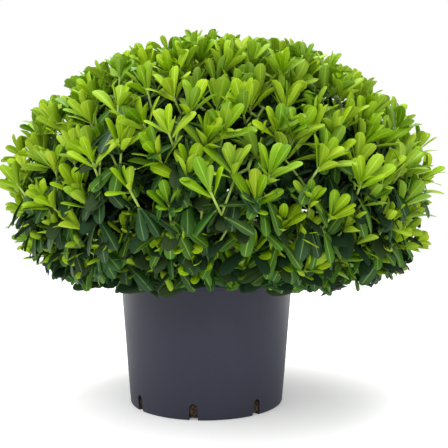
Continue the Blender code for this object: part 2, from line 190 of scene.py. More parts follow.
class Paint:
    """A Principled material and the nodes that feed it.

    The Mix node's sockets for colours share their names with others, so they are told by place.
    """

    MIX_SHARE, MIX_FIRST, MIX_SECOND, MIX_RESULT = 0, 6, 7, 2

    def __init__(self, name: str, colour: Colour, roughness: float, specular: float) -> None:
        """Start a material with constant values.

        Args:
            name: the material's name.
            colour: base colour, linear.
            roughness: the shader's roughness.
            specular: the shader's specular level.
        """
        self.material = bpy.data.materials.new(name)
        self.material.use_nodes = True
        self.tree = self.material.node_tree
        self.shader = self.tree.nodes["Principled BSDF"]
        self.feed("Base Color", (*colour, 1.0))
        self.feed("Roughness", roughness)
        self.feed("Specular IOR Level", specular)

    def node(self, kind: str, settings: dict, output: str, **values: object) -> Wire:
        """Add any node.

        Args:
            kind: the node's type.
            settings: attributes of the node, set first.
            output: name of the output that is wanted.
            **values: numbers, colours or Wires of its inputs, by name with _ for a space.

        Returns:
            The wanted output.
        """
        node = self.tree.nodes.new(kind)
        for name, value in settings.items():
            setattr(node, name, value)
        for name, value in values.items():
            supply(node.inputs[name.replace("_", " ")], value)
        return Wire(self.tree, node.outputs[output])

    def position(self) -> Wire:
        """Object coordinates."""
        return self.node("ShaderNodeTexCoord", {}, "Object")

    def grain(self, scale: float, detail: float, stretch: Triple = (1.0, 1.0, 1.0)) -> Wire:
        """Noise from 0 to 1 on object coordinates.

        Args:
            scale: the noise's scale.
            detail: its detail.
            stretch: scale along each axis.

        Returns:
            The noise's factor.
        """
        place = self.node("ShaderNodeMapping", {}, "Vector", Vector=self.position(), Scale=stretch)
        return self.node("ShaderNodeTexNoise", {}, "Fac", Vector=place, Scale=scale, Detail=detail)

    def band(self, value: Wire, low: float, high: float) -> Wire:
        """Smooth step of a value.

        Args:
            value: the value.
            low: where the step begins, at 0.
            high: where it ends, at 1.

        Returns:
            The step's result.
        """
        smooth = {"interpolation_type": "SMOOTHSTEP"}
        return self.node(
            "ShaderNodeMapRange", smooth, "Result", Value=value, From_Min=low, From_Max=high
        )

    def mix(self, share: Wire, first: object, second: object) -> Wire:
        """Mix two colours.

        Args:
            share: how much of the second.
            first: a Wire or a colour.
            second: a Wire or a colour.

        Returns:
            The mixed colour.
        """
        node = self.tree.nodes.new("ShaderNodeMix")
        node.data_type = "RGBA"
        supply(node.inputs[self.MIX_SHARE], share)
        for place, value in ((self.MIX_FIRST, first), (self.MIX_SECOND, second)):
            supply(node.inputs[place], value if isinstance(value, Wire) else (*value, 1.0))
        return Wire(self.tree, node.outputs[self.MIX_RESULT])

    def feed(self, name: str, value: object) -> None:
        """Supply one of the shader's inputs."""
        supply(self.shader.inputs[name], value)

    def relief(self, height: Wire, distance: float, strength: float) -> None:
        """Feed a Bump node to the shader's normal.

        Args:
            height: the relief's height from 0 to 1.
            distance: its depth in metres.
            strength: the node's strength.
        """
        bump = self.node(
            "ShaderNodeBump", {}, "Normal", Height=height, Distance=distance, Strength=strength
        )
        self.feed("Normal", bump)


@dataclass(frozen=True)
class Finish:
    """A plain finish, and the base of those that have a pattern."""

    name: str
    colour: Colour
    roughness: float
    specular: float

    def pattern(self, paint: Paint) -> None:
        """Lay no pattern on a plain finish."""

    def material(self) -> bpy.types.Material:
        """Make the material, with its pattern.

        Returns:
            The material.
        """
        paint = Paint(self.name, self.colour, self.roughness, self.specular)
        self.pattern(paint)
        return paint.material


class LeafPart(Enum):
    """Which part of a leaf a face belongs to, as its material's place in a tint."""

    BLADE = 0
    RIB = 1
    UNDER = 2


@dataclass(frozen=True)
class LeafFinish:
    """The plain colours of one tint of leaf: blade, midrib and underside."""

    name: str
    blade: Colour
    rib: Colour
    under: Colour
    roughness: float
    specular: float
    under_duller: float = 0.12

    def materials(self) -> list[bpy.types.Material]:
        """Make the materials.

        Returns:
            One material for each LeafPart, in their order.
        """
        duller = self.roughness + self.under_duller
        looks = ((self.blade, self.roughness), (self.rib, self.roughness), (self.under, duller))
        return [
            Finish(f"{self.name}_{part.name.lower()}", *look, self.specular).material()
            for part, look in zip(LeafPart, looks)
        ]


class Kind(Enum):
    """The kinds of leaves."""

    YOUNG = "young"
    OLD = "old"
    SHADE = "shade"


TINTS: dict[Kind, tuple[LeafFinish, ...]] = {
    Kind.YOUNG: (
        LeafFinish("fresh", (0.21, 0.37, 0.002), (0.33, 0.47, 0.03), (0.22, 0.36, 0.012), 0.48, 0.14),
        LeafFinish("lime", (0.25, 0.41, 0.003), (0.39, 0.53, 0.05), (0.27, 0.41, 0.015), 0.48, 0.14),
        LeafFinish("spring", (0.17, 0.33, 0.002), (0.31, 0.45, 0.03), (0.21, 0.34, 0.015), 0.46, 0.18),
        LeafFinish("grass", (0.11, 0.25, 0.002), (0.24, 0.38, 0.03), (0.15, 0.27, 0.015), 0.44, 0.20),
        LeafFinish("pale", (0.29, 0.44, 0.004), (0.40, 0.53, 0.05), (0.30, 0.42, 0.015), 0.50, 0.12),
    ),
    Kind.OLD: (
        LeafFinish("deep", (0.015, 0.062, 0.007), (0.10, 0.18, 0.04), (0.018, 0.052, 0.009), 0.44, 0.20),
        LeafFinish("forest", (0.026, 0.092, 0.009), (0.14, 0.23, 0.04), (0.028, 0.074, 0.011), 0.46, 0.20),
        LeafFinish("holly", (0.010, 0.044, 0.008), (0.08, 0.15, 0.04), (0.013, 0.038, 0.009), 0.42, 0.22),
        LeafFinish("summer", (0.045, 0.130, 0.007), (0.17, 0.28, 0.04), (0.046, 0.115, 0.011), 0.48, 0.18),
    ),
    # The shade leaves' near-black tints are painted shade deep inside the crown.
    Kind.SHADE: (
        LeafFinish("dusk", (0.004, 0.016, 0.003), (0.01, 0.03, 0.01), (0.01, 0.03, 0.01), 0.60, 0.10),
        LeafFinish("night", (0.007, 0.026, 0.004), (0.02, 0.05, 0.01), (0.02, 0.04, 0.01), 0.55, 0.15),
    ),
}


@dataclass(frozen=True)
class BarkFinish(Finish):
    """Grey-brown bark with fine paler ridges along the limbs."""

    name: str = "bark"
    colour: Colour = (0.15, 0.115, 0.08)
    roughness: float = 0.85
    specular: float = 0.3
    ridge: Colour = (0.26, 0.22, 0.17)

    def pattern(self, paint: Paint) -> None:
        """Lay the ridges."""
        grain = paint.grain(scale=150.0, detail=4.0, stretch=(1.0, 1.0, 0.3))
        ridges = paint.band(grain, low=0.4, high=0.65)
        paint.feed("Base Color", paint.mix(ridges, self.colour, self.ridge))
        paint.relief(grain, distance=0.0012, strength=0.8)


@dataclass(frozen=True)
class PlasticFinish(Finish):
    """Slate-grey satin plastic, dusted in clouds and specks, with painted shade above a band of height."""

    name: str = "slate_plastic"
    colour: Colour = (0.014, 0.015, 0.027)
    roughness: float = 0.42
    specular: float = 0.22
    dusty_and_unshaded: Colour = (0.034, 0.036, 0.056)
    dust_roughness: float = 0.22
    painted_shade_from: tuple[float, float] = (0.100, 0.178)
    cloud_share: float = 0.3
    speck_share: float = 0.2
    unshaded_foot_share: float = 0.5

    def pattern(self, paint: Paint) -> None:
        """Lay the dusting in clouds and specks, and the painted shade above a band of height."""
        cloud = paint.grain(scale=9.0, detail=5.0, stretch=(1.0, 1.0, 0.6))
        speck = paint.grain(scale=240.0, detail=3.0)
        dust_and_shade = paint.band(cloud, low=0.42, high=0.75) * self.cloud_share
        dust_and_shade += paint.band(speck, low=0.55, high=0.8) * self.speck_share
        height = paint.node("ShaderNodeSeparateXYZ", {}, "Z", Vector=paint.position())
        # The wall is lighter below this band of height and darker above it: painted shade under the crown.
        dust_and_shade += (1.0 - paint.band(height, *self.painted_shade_from)) * self.unshaded_foot_share
        paint.feed("Base Color", paint.mix(dust_and_shade, self.colour, self.dusty_and_unshaded))
        paint.feed("Roughness", dust_and_shade * self.dust_roughness + self.roughness)
        paint.relief(paint.grain(scale=900.0, detail=2.0), distance=0.0002, strength=0.25)


@dataclass(frozen=True)
class SoilFinish(Finish):
    """Dark moist potting mix with crumbs and pale fibres."""

    name: str = "potting_soil"
    colour: Colour = (0.022, 0.014, 0.009)
    roughness: float = 0.95
    specular: float = 0.2
    crumb: Colour = (0.075, 0.047, 0.028)
    fibre: Colour = (0.24, 0.15, 0.08)

    def pattern(self, paint: Paint) -> None:
        """Lay the crumbs and the fibres."""
        crumbs = paint.grain(scale=260.0, detail=4.0)
        fibres = paint.grain(scale=420.0, detail=2.0, stretch=(1.0, 1.0, 0.25))
        ground = paint.mix(paint.band(crumbs, low=0.42, high=0.62), self.colour, self.crumb)
        strands = paint.band(fibres, low=0.62, high=0.70)
        paint.feed("Base Color", paint.mix(strands, ground, self.fibre))
        paint.relief(crumbs, distance=0.002, strength=0.9)


@dataclass(frozen=True)
class FloorFinish(Finish):
    """Matt white that glows faintly."""

    name: str = "floor"
    colour: Colour = (0.93, 0.93, 0.93)
    roughness: float = 0.9
    specular: float = 0.1
    glow: float = 0.21

    def pattern(self, paint: Paint) -> None:
        """Lay the glow."""
        paint.feed("Emission Color", WHITE)
        paint.feed("Emission Strength", self.glow)


GREEN_STEM = Finish("green_stem", (0.26, 0.38, 0.06), roughness=0.5, specular=0.4)


@dataclass(frozen=True)
class Template:
    """Arrays of a small mesh that is repeated many times.

    The faces are kept as their corners in a row, the number of corners of each, and their part.
    """

    points: np.ndarray
    corners: np.ndarray
    counts: np.ndarray
    parts: np.ndarray

    @classmethod
    def of(cls, bm: bmesh.types.BMesh) -> "Template":
        """Read the arrays from a bmesh and free it.

        Args:
            bm: the small mesh, with each face's part in its material index.

        Returns:
            Its template.
        """
        bm.verts.index_update()
        points = np.array([vert.co[:] for vert in bm.verts])
        corners = np.array([vert.index for face in bm.faces for vert in face.verts])
        counts = np.array([len(face.verts) for face in bm.faces])
        parts = np.array([face.material_index for face in bm.faces])
        bm.free()
        return cls(points, corners, counts, parts)


@dataclass
class Joined:
    """Many copies of templates on their way to one mesh."""

    name: str
    points: list[np.ndarray] = field(default_factory=list)
    corners: list[np.ndarray] = field(default_factory=list)
    counts: list[np.ndarray] = field(default_factory=list)
    slots: list[np.ndarray] = field(default_factory=list)
    total: int = 0

    def add(self, template: Template, points: np.ndarray, first_slot: int) -> None:
        """Add a copy.

        Args:
            template: the small mesh.
            points: the copy's points, already in place.
            first_slot: material place of the template's part 0.
        """
        self.points.append(points)
        self.corners.append(template.corners + self.total)
        self.counts.append(template.counts)
        self.slots.append(template.parts + first_slot)
        self.total += len(points)

    def finish(self, materials: list[bpy.types.Material]) -> bpy.types.Object:
        """Make the object.

        Args:
            materials: its materials in the order of their places.

        Returns:
            The finished object, smooth shaded.
        """
        mesh = bpy.data.meshes.new(self.name)
        counts = np.concatenate(self.counts)
        corners = np.concatenate(self.corners)
        mesh.vertices.add(self.total)
        mesh.vertices.foreach_set("co", np.concatenate(self.points).astype(np.float32).ravel())
        mesh.loops.add(len(corners))
        mesh.loops.foreach_set("vertex_index", corners.astype(np.int32))
        mesh.polygons.add(len(counts))
        starts = np.concatenate(([0], np.cumsum(counts)[:-1]))
        mesh.polygons.foreach_set("loop_start", starts.astype(np.int32))
        mesh.polygons.foreach_set("material_index", np.concatenate(self.slots).astype(np.int32))
        piece = placed(mesh, *materials)
        mesh.update(calc_edges=True)
        mesh.shade_smooth()
        return piece


@dataclass(frozen=True)
class LeafForm:
    """One shape of leaf: blunt, widest past its middle, narrowing to its foot.

    It is a ball of eight sides, drawn out from its foot to its tip and pressed flat, so that each
    ring has a midrib strip, two halves of the blade and a thin margin above, and the same below.
    """

    slimness: float
    cup: float
    bend: float
    twist: float
    thickness: float = 0.016
    stations: tuple[float, ...] = (0.0, 0.14, 0.40, 0.66, 0.86, 0.97, 1.0)
    sides: int = 8
    rib_share: float = 0.09
    margin_share: float = 0.94
    fullness: float = 1.66
    rise: float = 0.95
    bluntness: float = 3.5
    cup_power: float = 1.5
    tip_thinning: float = 0.55
    margin_thickness: float = 0.35
    drawn_in: float = 0.25
    roll: float = 0.3
    under_from: float = -0.1
    rib_reach: float = 1.6
    margin_reach: float = 0.75
    margin: LeafPart = LeafPart.BLADE

    def width(self, along: float) -> float:
        """Half-width at a share of the length, as a share of the widest."""
        return self.fullness * along**self.rise * math.sqrt(max(0.0, 1.0 - along**self.bluntness))

    def place(self, along: float, turn: float) -> Triple:
        """Point of the surface.

        Args:
            along: share of the length.
            turn: turn about the leaf's axis, with the blade's face at a quarter turn.

        Returns:
            The point, with length 1 along X.
        """
        half = 0.5 * self.slimness
        pole = along in (0.0, 1.0)
        steep = abs(math.sin(turn)) > abs(math.cos(turn))
        share = 0.0 if pole else (self.rib_share if steep else self.margin_share)
        side = math.copysign(share, math.cos(turn)) * self.width(along) * half
        thick = self.thickness * (1.0 - self.tip_thinning * along)
        thick *= 1.0 if steep else self.margin_thickness
        lift = 0.0 if pole else math.copysign(thick / 2, math.sin(turn))
        cupped = self.cup * abs(side) ** self.cup_power / half ** (self.cup_power - 1.0)
        lift += cupped + self.bend * along * along
        spin = self.twist * along
        return (
            along * (1.0 - self.drawn_in * abs(self.bend) * along),
            side * math.cos(spin) - lift * math.sin(spin) * self.roll,
            lift + side * math.sin(spin),
        )

    def part(self, face: bmesh.types.BMFace) -> LeafPart:
        """Tell which part of the leaf a face belongs to.

        Args:
            face: a face of the finished leaf.

        Returns:
            Its part.
        """
        half = 0.5 * self.slimness
        spread = [abs(vert.co.y) for vert in face.verts]
        if min(spread) > self.margin_reach * self.margin_share * half:
            return self.margin
        narrow = max(spread) < self.rib_reach * self.rib_share * half
        if narrow or face.calc_center_median().x < self.stations[1]:
            return LeafPart.RIB
        return LeafPart.BLADE if face.normal.z > self.under_from else LeafPart.UNDER

    def template(self) -> Template:
        """Build the leaf with length 1 along X and its face up.

        Returns:
            Its template, with the parts of LeafPart.
        """
        bm = bmesh.new()
        rings = len(self.stations) - 1
        bmesh.ops.create_uvsphere(bm, u_segments=self.sides, v_segments=rings, radius=1.0)
        bm.normal_update()
        for vert in bm.verts:
            level = math.acos(max(-1.0, min(1.0, -vert.co.z))) / math.pi
            turn = math.atan2(vert.co.y, vert.co.x) + math.pi / self.sides
            vert.co = self.place(self.stations[round(level * rings)], turn)
        bmesh.ops.recalc_face_normals(bm, faces=bm.faces)
        bm.normal_update()
        for face in bm.faces:
            face.material_index = self.part(face).value
        return Template.of(bm)


# A leaf's faces are turned by the normals that they had on the ball. Those of the last young form
# and the first old one come out inwards, and in some runs those of the shade form. The parts of
# their two sides then change over.
FORMS: dict[Kind, tuple[LeafForm, ...]] = {
    Kind.YOUNG: (
        LeafForm(slimness=0.37, cup=0.30, bend=-0.06, twist=0.10),
        LeafForm(slimness=0.41, cup=0.18, bend=-0.14, twist=-0.20),
        LeafForm(slimness=0.35, cup=0.45, bend=0.05, twist=0.15),
        LeafForm(slimness=0.39, cup=0.10, bend=-0.22, twist=0.05),
    ),
    Kind.OLD: (
        LeafForm(slimness=0.32, cup=0.20, bend=-0.16, twist=0.12, margin=LeafPart.RIB),
        LeafForm(slimness=0.35, cup=0.05, bend=-0.28, twist=-0.15, margin=LeafPart.RIB),
        LeafForm(slimness=0.30, cup=0.30, bend=-0.08, twist=0.20, margin=LeafPart.RIB),
    ),
    Kind.SHADE: (LeafForm(slimness=0.34, cup=0.30, bend=-0.15, twist=0.0),),
}
# How far a leaf of each kind may sag, tried in turn until its tip hangs high enough.
SAGS: dict[Kind, tuple[float, ...]] = {
    Kind.YOUNG: (0.06, -0.3),
    Kind.OLD: (0.5, 0.25, 0.0),
    Kind.SHADE: (0.4, 0.1),
}


@dataclass(frozen=True)
class Crown:
    """The crown's outline: a rounded body, flatter below than above."""

    centre: Vector = field(default_factory=lambda: Vector((0.026, 0.0, 0.332)))
    side: float = 0.360
    front: float = 0.334
    up: float = 0.262
    down: float = 0.192
    roundness: float = 1.82
    squareness: float = 2.3

    def reach(self, direction: Vector) -> float:
        """Distance from the centre to the outline along a direction of length 1."""
        rising = direction.z > 0.0
        power = self.roundness if rising else self.squareness
        upright = self.up if rising else self.down
        level = math.hypot(direction.x / self.side, direction.y / self.front)
        return (level**power + abs(direction.z / upright) ** power) ** (-1.0 / power)

    def share(self, point: Vector) -> float:
        """How far out a point lies, as a share of the reach that way."""
        offset = point - self.centre
        return offset.length / self.reach(offset.normalized())


@dataclass(frozen=True)
class Whorl:
    """The leaves of one kind that stand round a shoot, some way below its tip."""

    kind: Kind
    count: tuple[int, int]
    below: tuple[float, float]
    angle: float
    length: tuple[float, float]


@dataclass(frozen=True)
class Tier:
    """One tier of masses and the leaves that its shoots carry.

    Slot, a material slot for the leaves, is not used. Elevation and azimuth are in degrees,
    height is where the boughs leave the stem above the soil, and lift is the upward share of a
    shoot's direction.
    """

    name: str
    slot: str
    count: int
    elevation: float
    azimuth: float
    height: float
    radius: float
    lift: float
    young: tuple[int, int]
    young_size: float
    old: tuple[int, int]
    old_angle: float
    shade: int

    def whorls(self) -> tuple[Whorl, Whorl]:
        """The old leaves, and the shade leaves under them, whose near-black tints are painted shade."""
        return (
            Whorl(Kind.OLD, self.old, (0.020, 0.038), self.old_angle, (0.044, 0.058)),
            Whorl(Kind.SHADE, (self.shade, self.shade), (0.048, 0.072), 70.0, (0.050, 0.066)),
        )


TIERS = (
    Tier(
        "top", "young_leaf", count=1, elevation=90.0, azimuth=0.0, height=0.094, radius=0.0085,
        lift=0.50, young=(8, 11), young_size=1.00, old=(4, 6), old_angle=78.0, shade=4,
    ),
    Tier(
        "upper", "young_leaf", count=6, elevation=47.0, azimuth=-60.0, height=0.079, radius=0.0054,
        lift=0.70, young=(8, 11), young_size=1.00, old=(5, 6), old_angle=84.0, shade=4,
    ),
    Tier(
        "middle", "mixed_leaf", count=8, elevation=13.0, azimuth=-90.0, height=0.054, radius=0.0045,
        lift=0.80, young=(7, 9), young_size=1.00, old=(6, 8), old_angle=98.0, shade=3,
    ),
    Tier(
        "skirt", "old_leaf", count=8, elevation=-23.0, azimuth=-67.5, height=0.028, radius=0.0043,
        lift=0.62, young=(5, 8), young_size=0.84, old=(6, 8), old_angle=108.0, shade=3,
    ),
)


@dataclass
class Mass:
    """One mass of foliage: its direction, its node, its bough's node and its shoots' tips."""

    tier: Tier
    index: int
    direction: Vector = field(init=False)
    name: str = field(init=False)
    bough_name: str = field(init=False)
    tips: list[Vector] = field(default_factory=list)

    def __post_init__(self) -> None:
        """Work out the direction and the names."""
        step = 360.0 / self.tier.count
        self.direction = polar(self.tier.elevation, self.tier.azimuth + self.index * step)
        number = "" if self.tier.count == 1 else f"_{self.index + 1}"
        self.name = f"foliage_{self.tier.name}{number}"
        self.bough_name = f"bough_{self.tier.name}{number}"

    def along(self, crown: Crown, share: float) -> Vector:
        """Point on the mass's own line at a share of its reach."""
        return crown.centre + share * crown.reach(self.direction) * self.direction


@dataclass
class PotShape:
    """The pot, spun from its profile, with arched slots at its foot.

    A corner is rounded in two facets, whose middle point lies at the share corner of its size.
    """

    wall: float = 0.0022
    floor: float = 0.0025
    rim_height: float = 0.0060
    rim_proud: float = 0.0013
    rim_edge: tuple[float, float] = (0.0004, 0.0006)
    fillet: tuple[float, float] = (0.0003, 0.0008)
    fillet_end: float = 0.0025
    corner: float = 0.3
    step_height: float = 0.012
    step_drop: float = 0.0024
    step_depth: float = 0.0002
    foot_round: float = 0.0024
    foot_radius: float = 0.1225
    steps: int = 128
    slots: int = 8
    first_slot: float = -9.0
    slot_width: float = 0.0115
    slot_height: float = 0.024
    slot_depth: float = 0.016
    slot_flare: float = 0.001
    arch_steps: int = 10
    sharp_from: float = 40.0
    height: float = field(init=False)
    rim_radius: float = field(init=False)
    radius: float = field(init=False)

    def __post_init__(self) -> None:
        """Take the height and the radii from the frame."""
        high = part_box("pot")[1]
        self.height = high.z
        self.rim_radius = high.x
        self.radius = high.x - self.rim_proud

    def wall_radius(self, height: float) -> float:
        """Outer radius of the plain wall at a height."""
        return self.foot_radius + (self.radius - self.foot_radius) * height / self.height

    def profile(self) -> list[tuple[float, float]]:
        """Work out the wall's section.

        Returns:
            Radius and height of its points, from the lip down the outside and up the inside.
        """
        outer = self.rim_radius
        under = self.height - self.rim_height
        lip = self.wall / 2
        fillet_end = under - self.fillet_end
        step_foot = self.step_height - self.step_drop
        foot_facet = self.corner * self.foot_round
        return [
            (outer - lip, self.height),
            (outer - self.corner * lip, self.height - self.corner * lip),
            (outer, self.height - lip),
            (outer, under + self.rim_edge[1]),
            (outer - self.rim_edge[0], under),
            (self.wall_radius(under) + self.fillet[0], under - self.fillet[1]),
            (self.wall_radius(fillet_end), fillet_end),
            (self.wall_radius(self.step_height), self.step_height),
            (self.wall_radius(step_foot) - self.step_depth, step_foot),
            (self.wall_radius(self.foot_round), self.foot_round),
            (self.foot_radius - foot_facet, foot_facet),
            (self.foot_radius - self.foot_round, 0.0),
            (0.0, 0.0),
            (0.0, self.floor),
            (self.wall_radius(self.floor) - self.wall, self.floor),
            (self.radius - self.wall, self.height - lip),
            (outer - lip, self.height),
        ]

    def cutters(self) -> bpy.types.Object:
        """Build the prisms that cut the slots.

        Returns:
            One object with all of them.
        """
        bm = bmesh.new()
        half = self.slot_width / 2
        outline = [(half + self.slot_flare, -self.floor)]
        for step in range(self.arch_steps + 1):
            turn = math.pi * step / self.arch_steps
            outline.append((half * math.cos(turn), self.slot_height + half * (math.sin(turn) - 1)))
        outline.append((-half - self.slot_flare, -self.floor))
        for index in range(self.slots):
            inner = self.foot_radius - self.slot_depth
            face = bm.faces.new([bm.verts.new((inner, side, level)) for side, level in outline])
            grown = bmesh.ops.extrude_face_region(bm, geom=[face])
            moved = [item for item in grown["geom"] if isinstance(item, bmesh.types.BMVert)]
            bmesh.ops.translate(bm, verts=moved, vec=(2 * self.slot_depth, 0.0, 0.0))
            turn = Matrix.Rotation(math.radians(self.first_slot + index * 360.0 / self.slots), 3, "Z")
            bmesh.ops.rotate(bm, cent=(0, 0, 0), matrix=turn, verts=list({*face.verts, *moved}))
        bmesh.ops.recalc_face_normals(bm, faces=bm.faces)
        return placed(as_mesh("slot_cutters", bm))

    def build(self) -> bpy.types.Object:
        """Spin the wall and cut the slots.

        Returns:
            The finished pot, dressed.
        """
        wall = as_mesh("nursery_pot", spun(self.profile(), self.steps))
        pot = placed(wall, PlasticFinish().material())
        cutters = self.cutters()
        cut = pot.modifiers.new("Slots", "BOOLEAN")
        cut.operation = "DIFFERENCE"
        cut.object = cutters
        pot.data = bpy.data.meshes.new_from_object(
            pot.evaluated_get(bpy.context.evaluated_depsgraph_get())
        )
        pot.modifiers.clear()
        bpy.data.objects.remove(cutters)
        pot.data.shade_smooth()
        pot.data.set_sharp_from_angle(angle=math.radians(self.sharp_from))
        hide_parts("pot")
        return pot


@dataclass
class SoilShape:
    """The potting mix: a lumpy top in the pot, and the ball of mix behind the slots.

    Hollows gives heights on the ball's side, and how far it draws back from the wall there.
    """

    pot: PotShape
    clearance: float = 0.0006
    drop: float = 0.005
    hollows: tuple[tuple[float, float], ...] = ((0.060, 0.0), (0.024, 0.00617), (0.014, 0.001))
    foot_hollow: float = 0.001
    steps: int = 96
    lump: float = 0.0016
    lump_scales: tuple[float, float] = (60.0, 170.0)
    lump_band: float = 0.001
    rings: int = 9

    def build(self) -> bpy.types.Object:
        """Spin the mix and press it into lumps.

        Returns:
            The finished soil, dressed.
        """
        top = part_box("potting_soil")[1].z - 2 * self.lump
        bottom = self.pot.floor + self.clearance
        inset = self.pot.wall + self.clearance
        side = self.pot.wall_radius(top - self.drop) - inset
        profile = [(side * step / self.rings, top) for step in range(self.rings)]
        profile.append((side, top - self.drop))
        for level, hollow in (*self.hollows, (bottom, self.foot_hollow)):
            profile.append((self.pot.wall_radius(level) - inset - hollow, level))
        profile.append((0.0, bottom))
        bm = spun(profile, self.steps)
        for vert in bm.verts:
            if vert.co.z > top - self.lump_band:
                for scale in self.lump_scales:
                    vert.co.z += self.lump * noise.noise(vert.co * scale)
        soil = placed(as_mesh("soil", bm), SoilFinish().material())
        soil.data.shade_smooth()
        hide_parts("potting_soil")
        return soil


@dataclass
class Limbs:
    """The stem and the boughs, with bark in relief.

    A ring's direction is taken over the share glance of the route before and after it.
    """

    stem_height: float = 0.094
    lean: float = 0.010
    foot_radius: float = 0.0165
    top_radius: float = 0.0115
    flare_radius: float = 0.0235
    flare_height: float = 0.020
    tip_radius: float = 0.0034
    bow: float = 0.42
    end_share: float = 0.45
    top_sunk: float = 0.004
    sides: int = 20
    steps: int = 18
    glance: float = 0.02
    relief: float = 0.0011
    full_relief_radius: float = 0.008
    ridges: float = 2.2
    ridge_rate: float = 45.0
    seam: float = 0.00002
    soil_top: float = field(init=False)

    def __post_init__(self) -> None:
        """Take the height of the stem's foot from the frame."""
        self.soil_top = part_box("stem")[0].z

    def stem_axis(self, height: float) -> Vector:
        """Point on the stem's axis at a height above the soil."""
        share = height / self.stem_height
        return Vector((self.lean * share * share, 0.0, self.soil_top + height))

    def stem_radius(self, height: float) -> float:
        """Radius of the stem at a height, with its root flare."""
        taper = self.foot_radius + (self.top_radius - self.foot_radius) * height / self.stem_height
        flare = max(0.0, 1.0 - height / self.flare_height)
        return taper + (self.flare_radius - self.foot_radius) * flare * flare

    def tube(self, bm: bmesh.types.BMesh, route: Route) -> None:
        """Add a closed tube, its rings pushed out and in as bark.

        Args:
            bm: the mesh that it is added to.
            route: point of the axis and radius at a share from 0 to 1.
        """
        grid = bmesh.ops.create_grid(bm, x_segments=self.steps, y_segments=self.sides, size=1.0)
        for vert in grid["verts"]:
            share = (vert.co.x + 1.0) / 2.0
            turn = math.pi * (vert.co.y + 1.0)
            point, radius = route(share)
            before = route(max(0.0, share - self.glance))[0]
            after = route(min(1.0, share + self.glance))[0]
            way = across((after - before).normalized(), turn)
            level = self.ridge_rate * point.length
            spot = Vector((self.ridges * math.cos(turn), self.ridges * math.sin(turn), level))
            rough = self.relief * min(1.0, radius / self.full_relief_radius) * noise.noise(spot)
            vert.co = point + (radius + rough) * way
        bmesh.ops.remove_doubles(bm, verts=grid["verts"], dist=self.seam)
        open_edges = [edge for edge in bm.edges if edge.is_boundary]
        bmesh.ops.holes_fill(bm, edges=open_edges, sides=0)

    def bough(self, tier: Tier, direction: Vector, end: Vector) -> Route:
        """Route of the bough of one mass.

        Args:
            tier: the mass's tier.
            direction: the mass's direction.
            end: where the bough enters the mass.

        Returns:
            Point and radius at a share of the way.
        """
        upright = direction.z > NEARLY_UPRIGHT
        leaving = UP if upright else Vector((direction.x, direction.y, 0.0)).normalized()
        start = self.stem_axis(tier.height) - (self.top_sunk * UP if upright else Vector())
        handle = self.bow * (end - start).length
        first, last = start + handle * leaving, end - handle * direction

        def route(share: float) -> tuple[Vector, float]:
            """Point and radius at a share of the bough."""
            rest = 1.0 - share
            point = rest**3 * start + 3 * rest * rest * share * first
            point += 3 * rest * share * share * last + share**3 * end
            return point, tier.radius + (self.tip_radius - tier.radius) * share

        return route

    def build(self, masses: list[Mass], crown: Crown) -> list[bpy.types.Object]:
        """Build the stem and all boughs.

        Args:
            masses: the crown's masses.
            crown: its outline.

        Returns:
            The stem's piece and the boughs' piece.
        """

        def trunk(share: float) -> tuple[Vector, float]:
            """Point and radius at a share of the stem."""
            height = share * self.stem_height
            return self.stem_axis(height), self.stem_radius(height)

        bark = BarkFinish().material()
        bm = bmesh.new()
        self.tube(bm, trunk)
        stem = placed(as_mesh("bark_stem", bm), bark)
        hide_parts("stem")
        bm = bmesh.new()
        for mass in masses:
            self.tube(bm, self.bough(mass.tier, mass.direction, mass.along(crown, self.end_share)))
        boughs = placed(as_mesh("bark_boughs", bm), bark)
        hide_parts(*[mass.bough_name for mass in masses])
        for piece in (stem, boughs):
            piece.data.shade_smooth()
        return [stem, boughs]


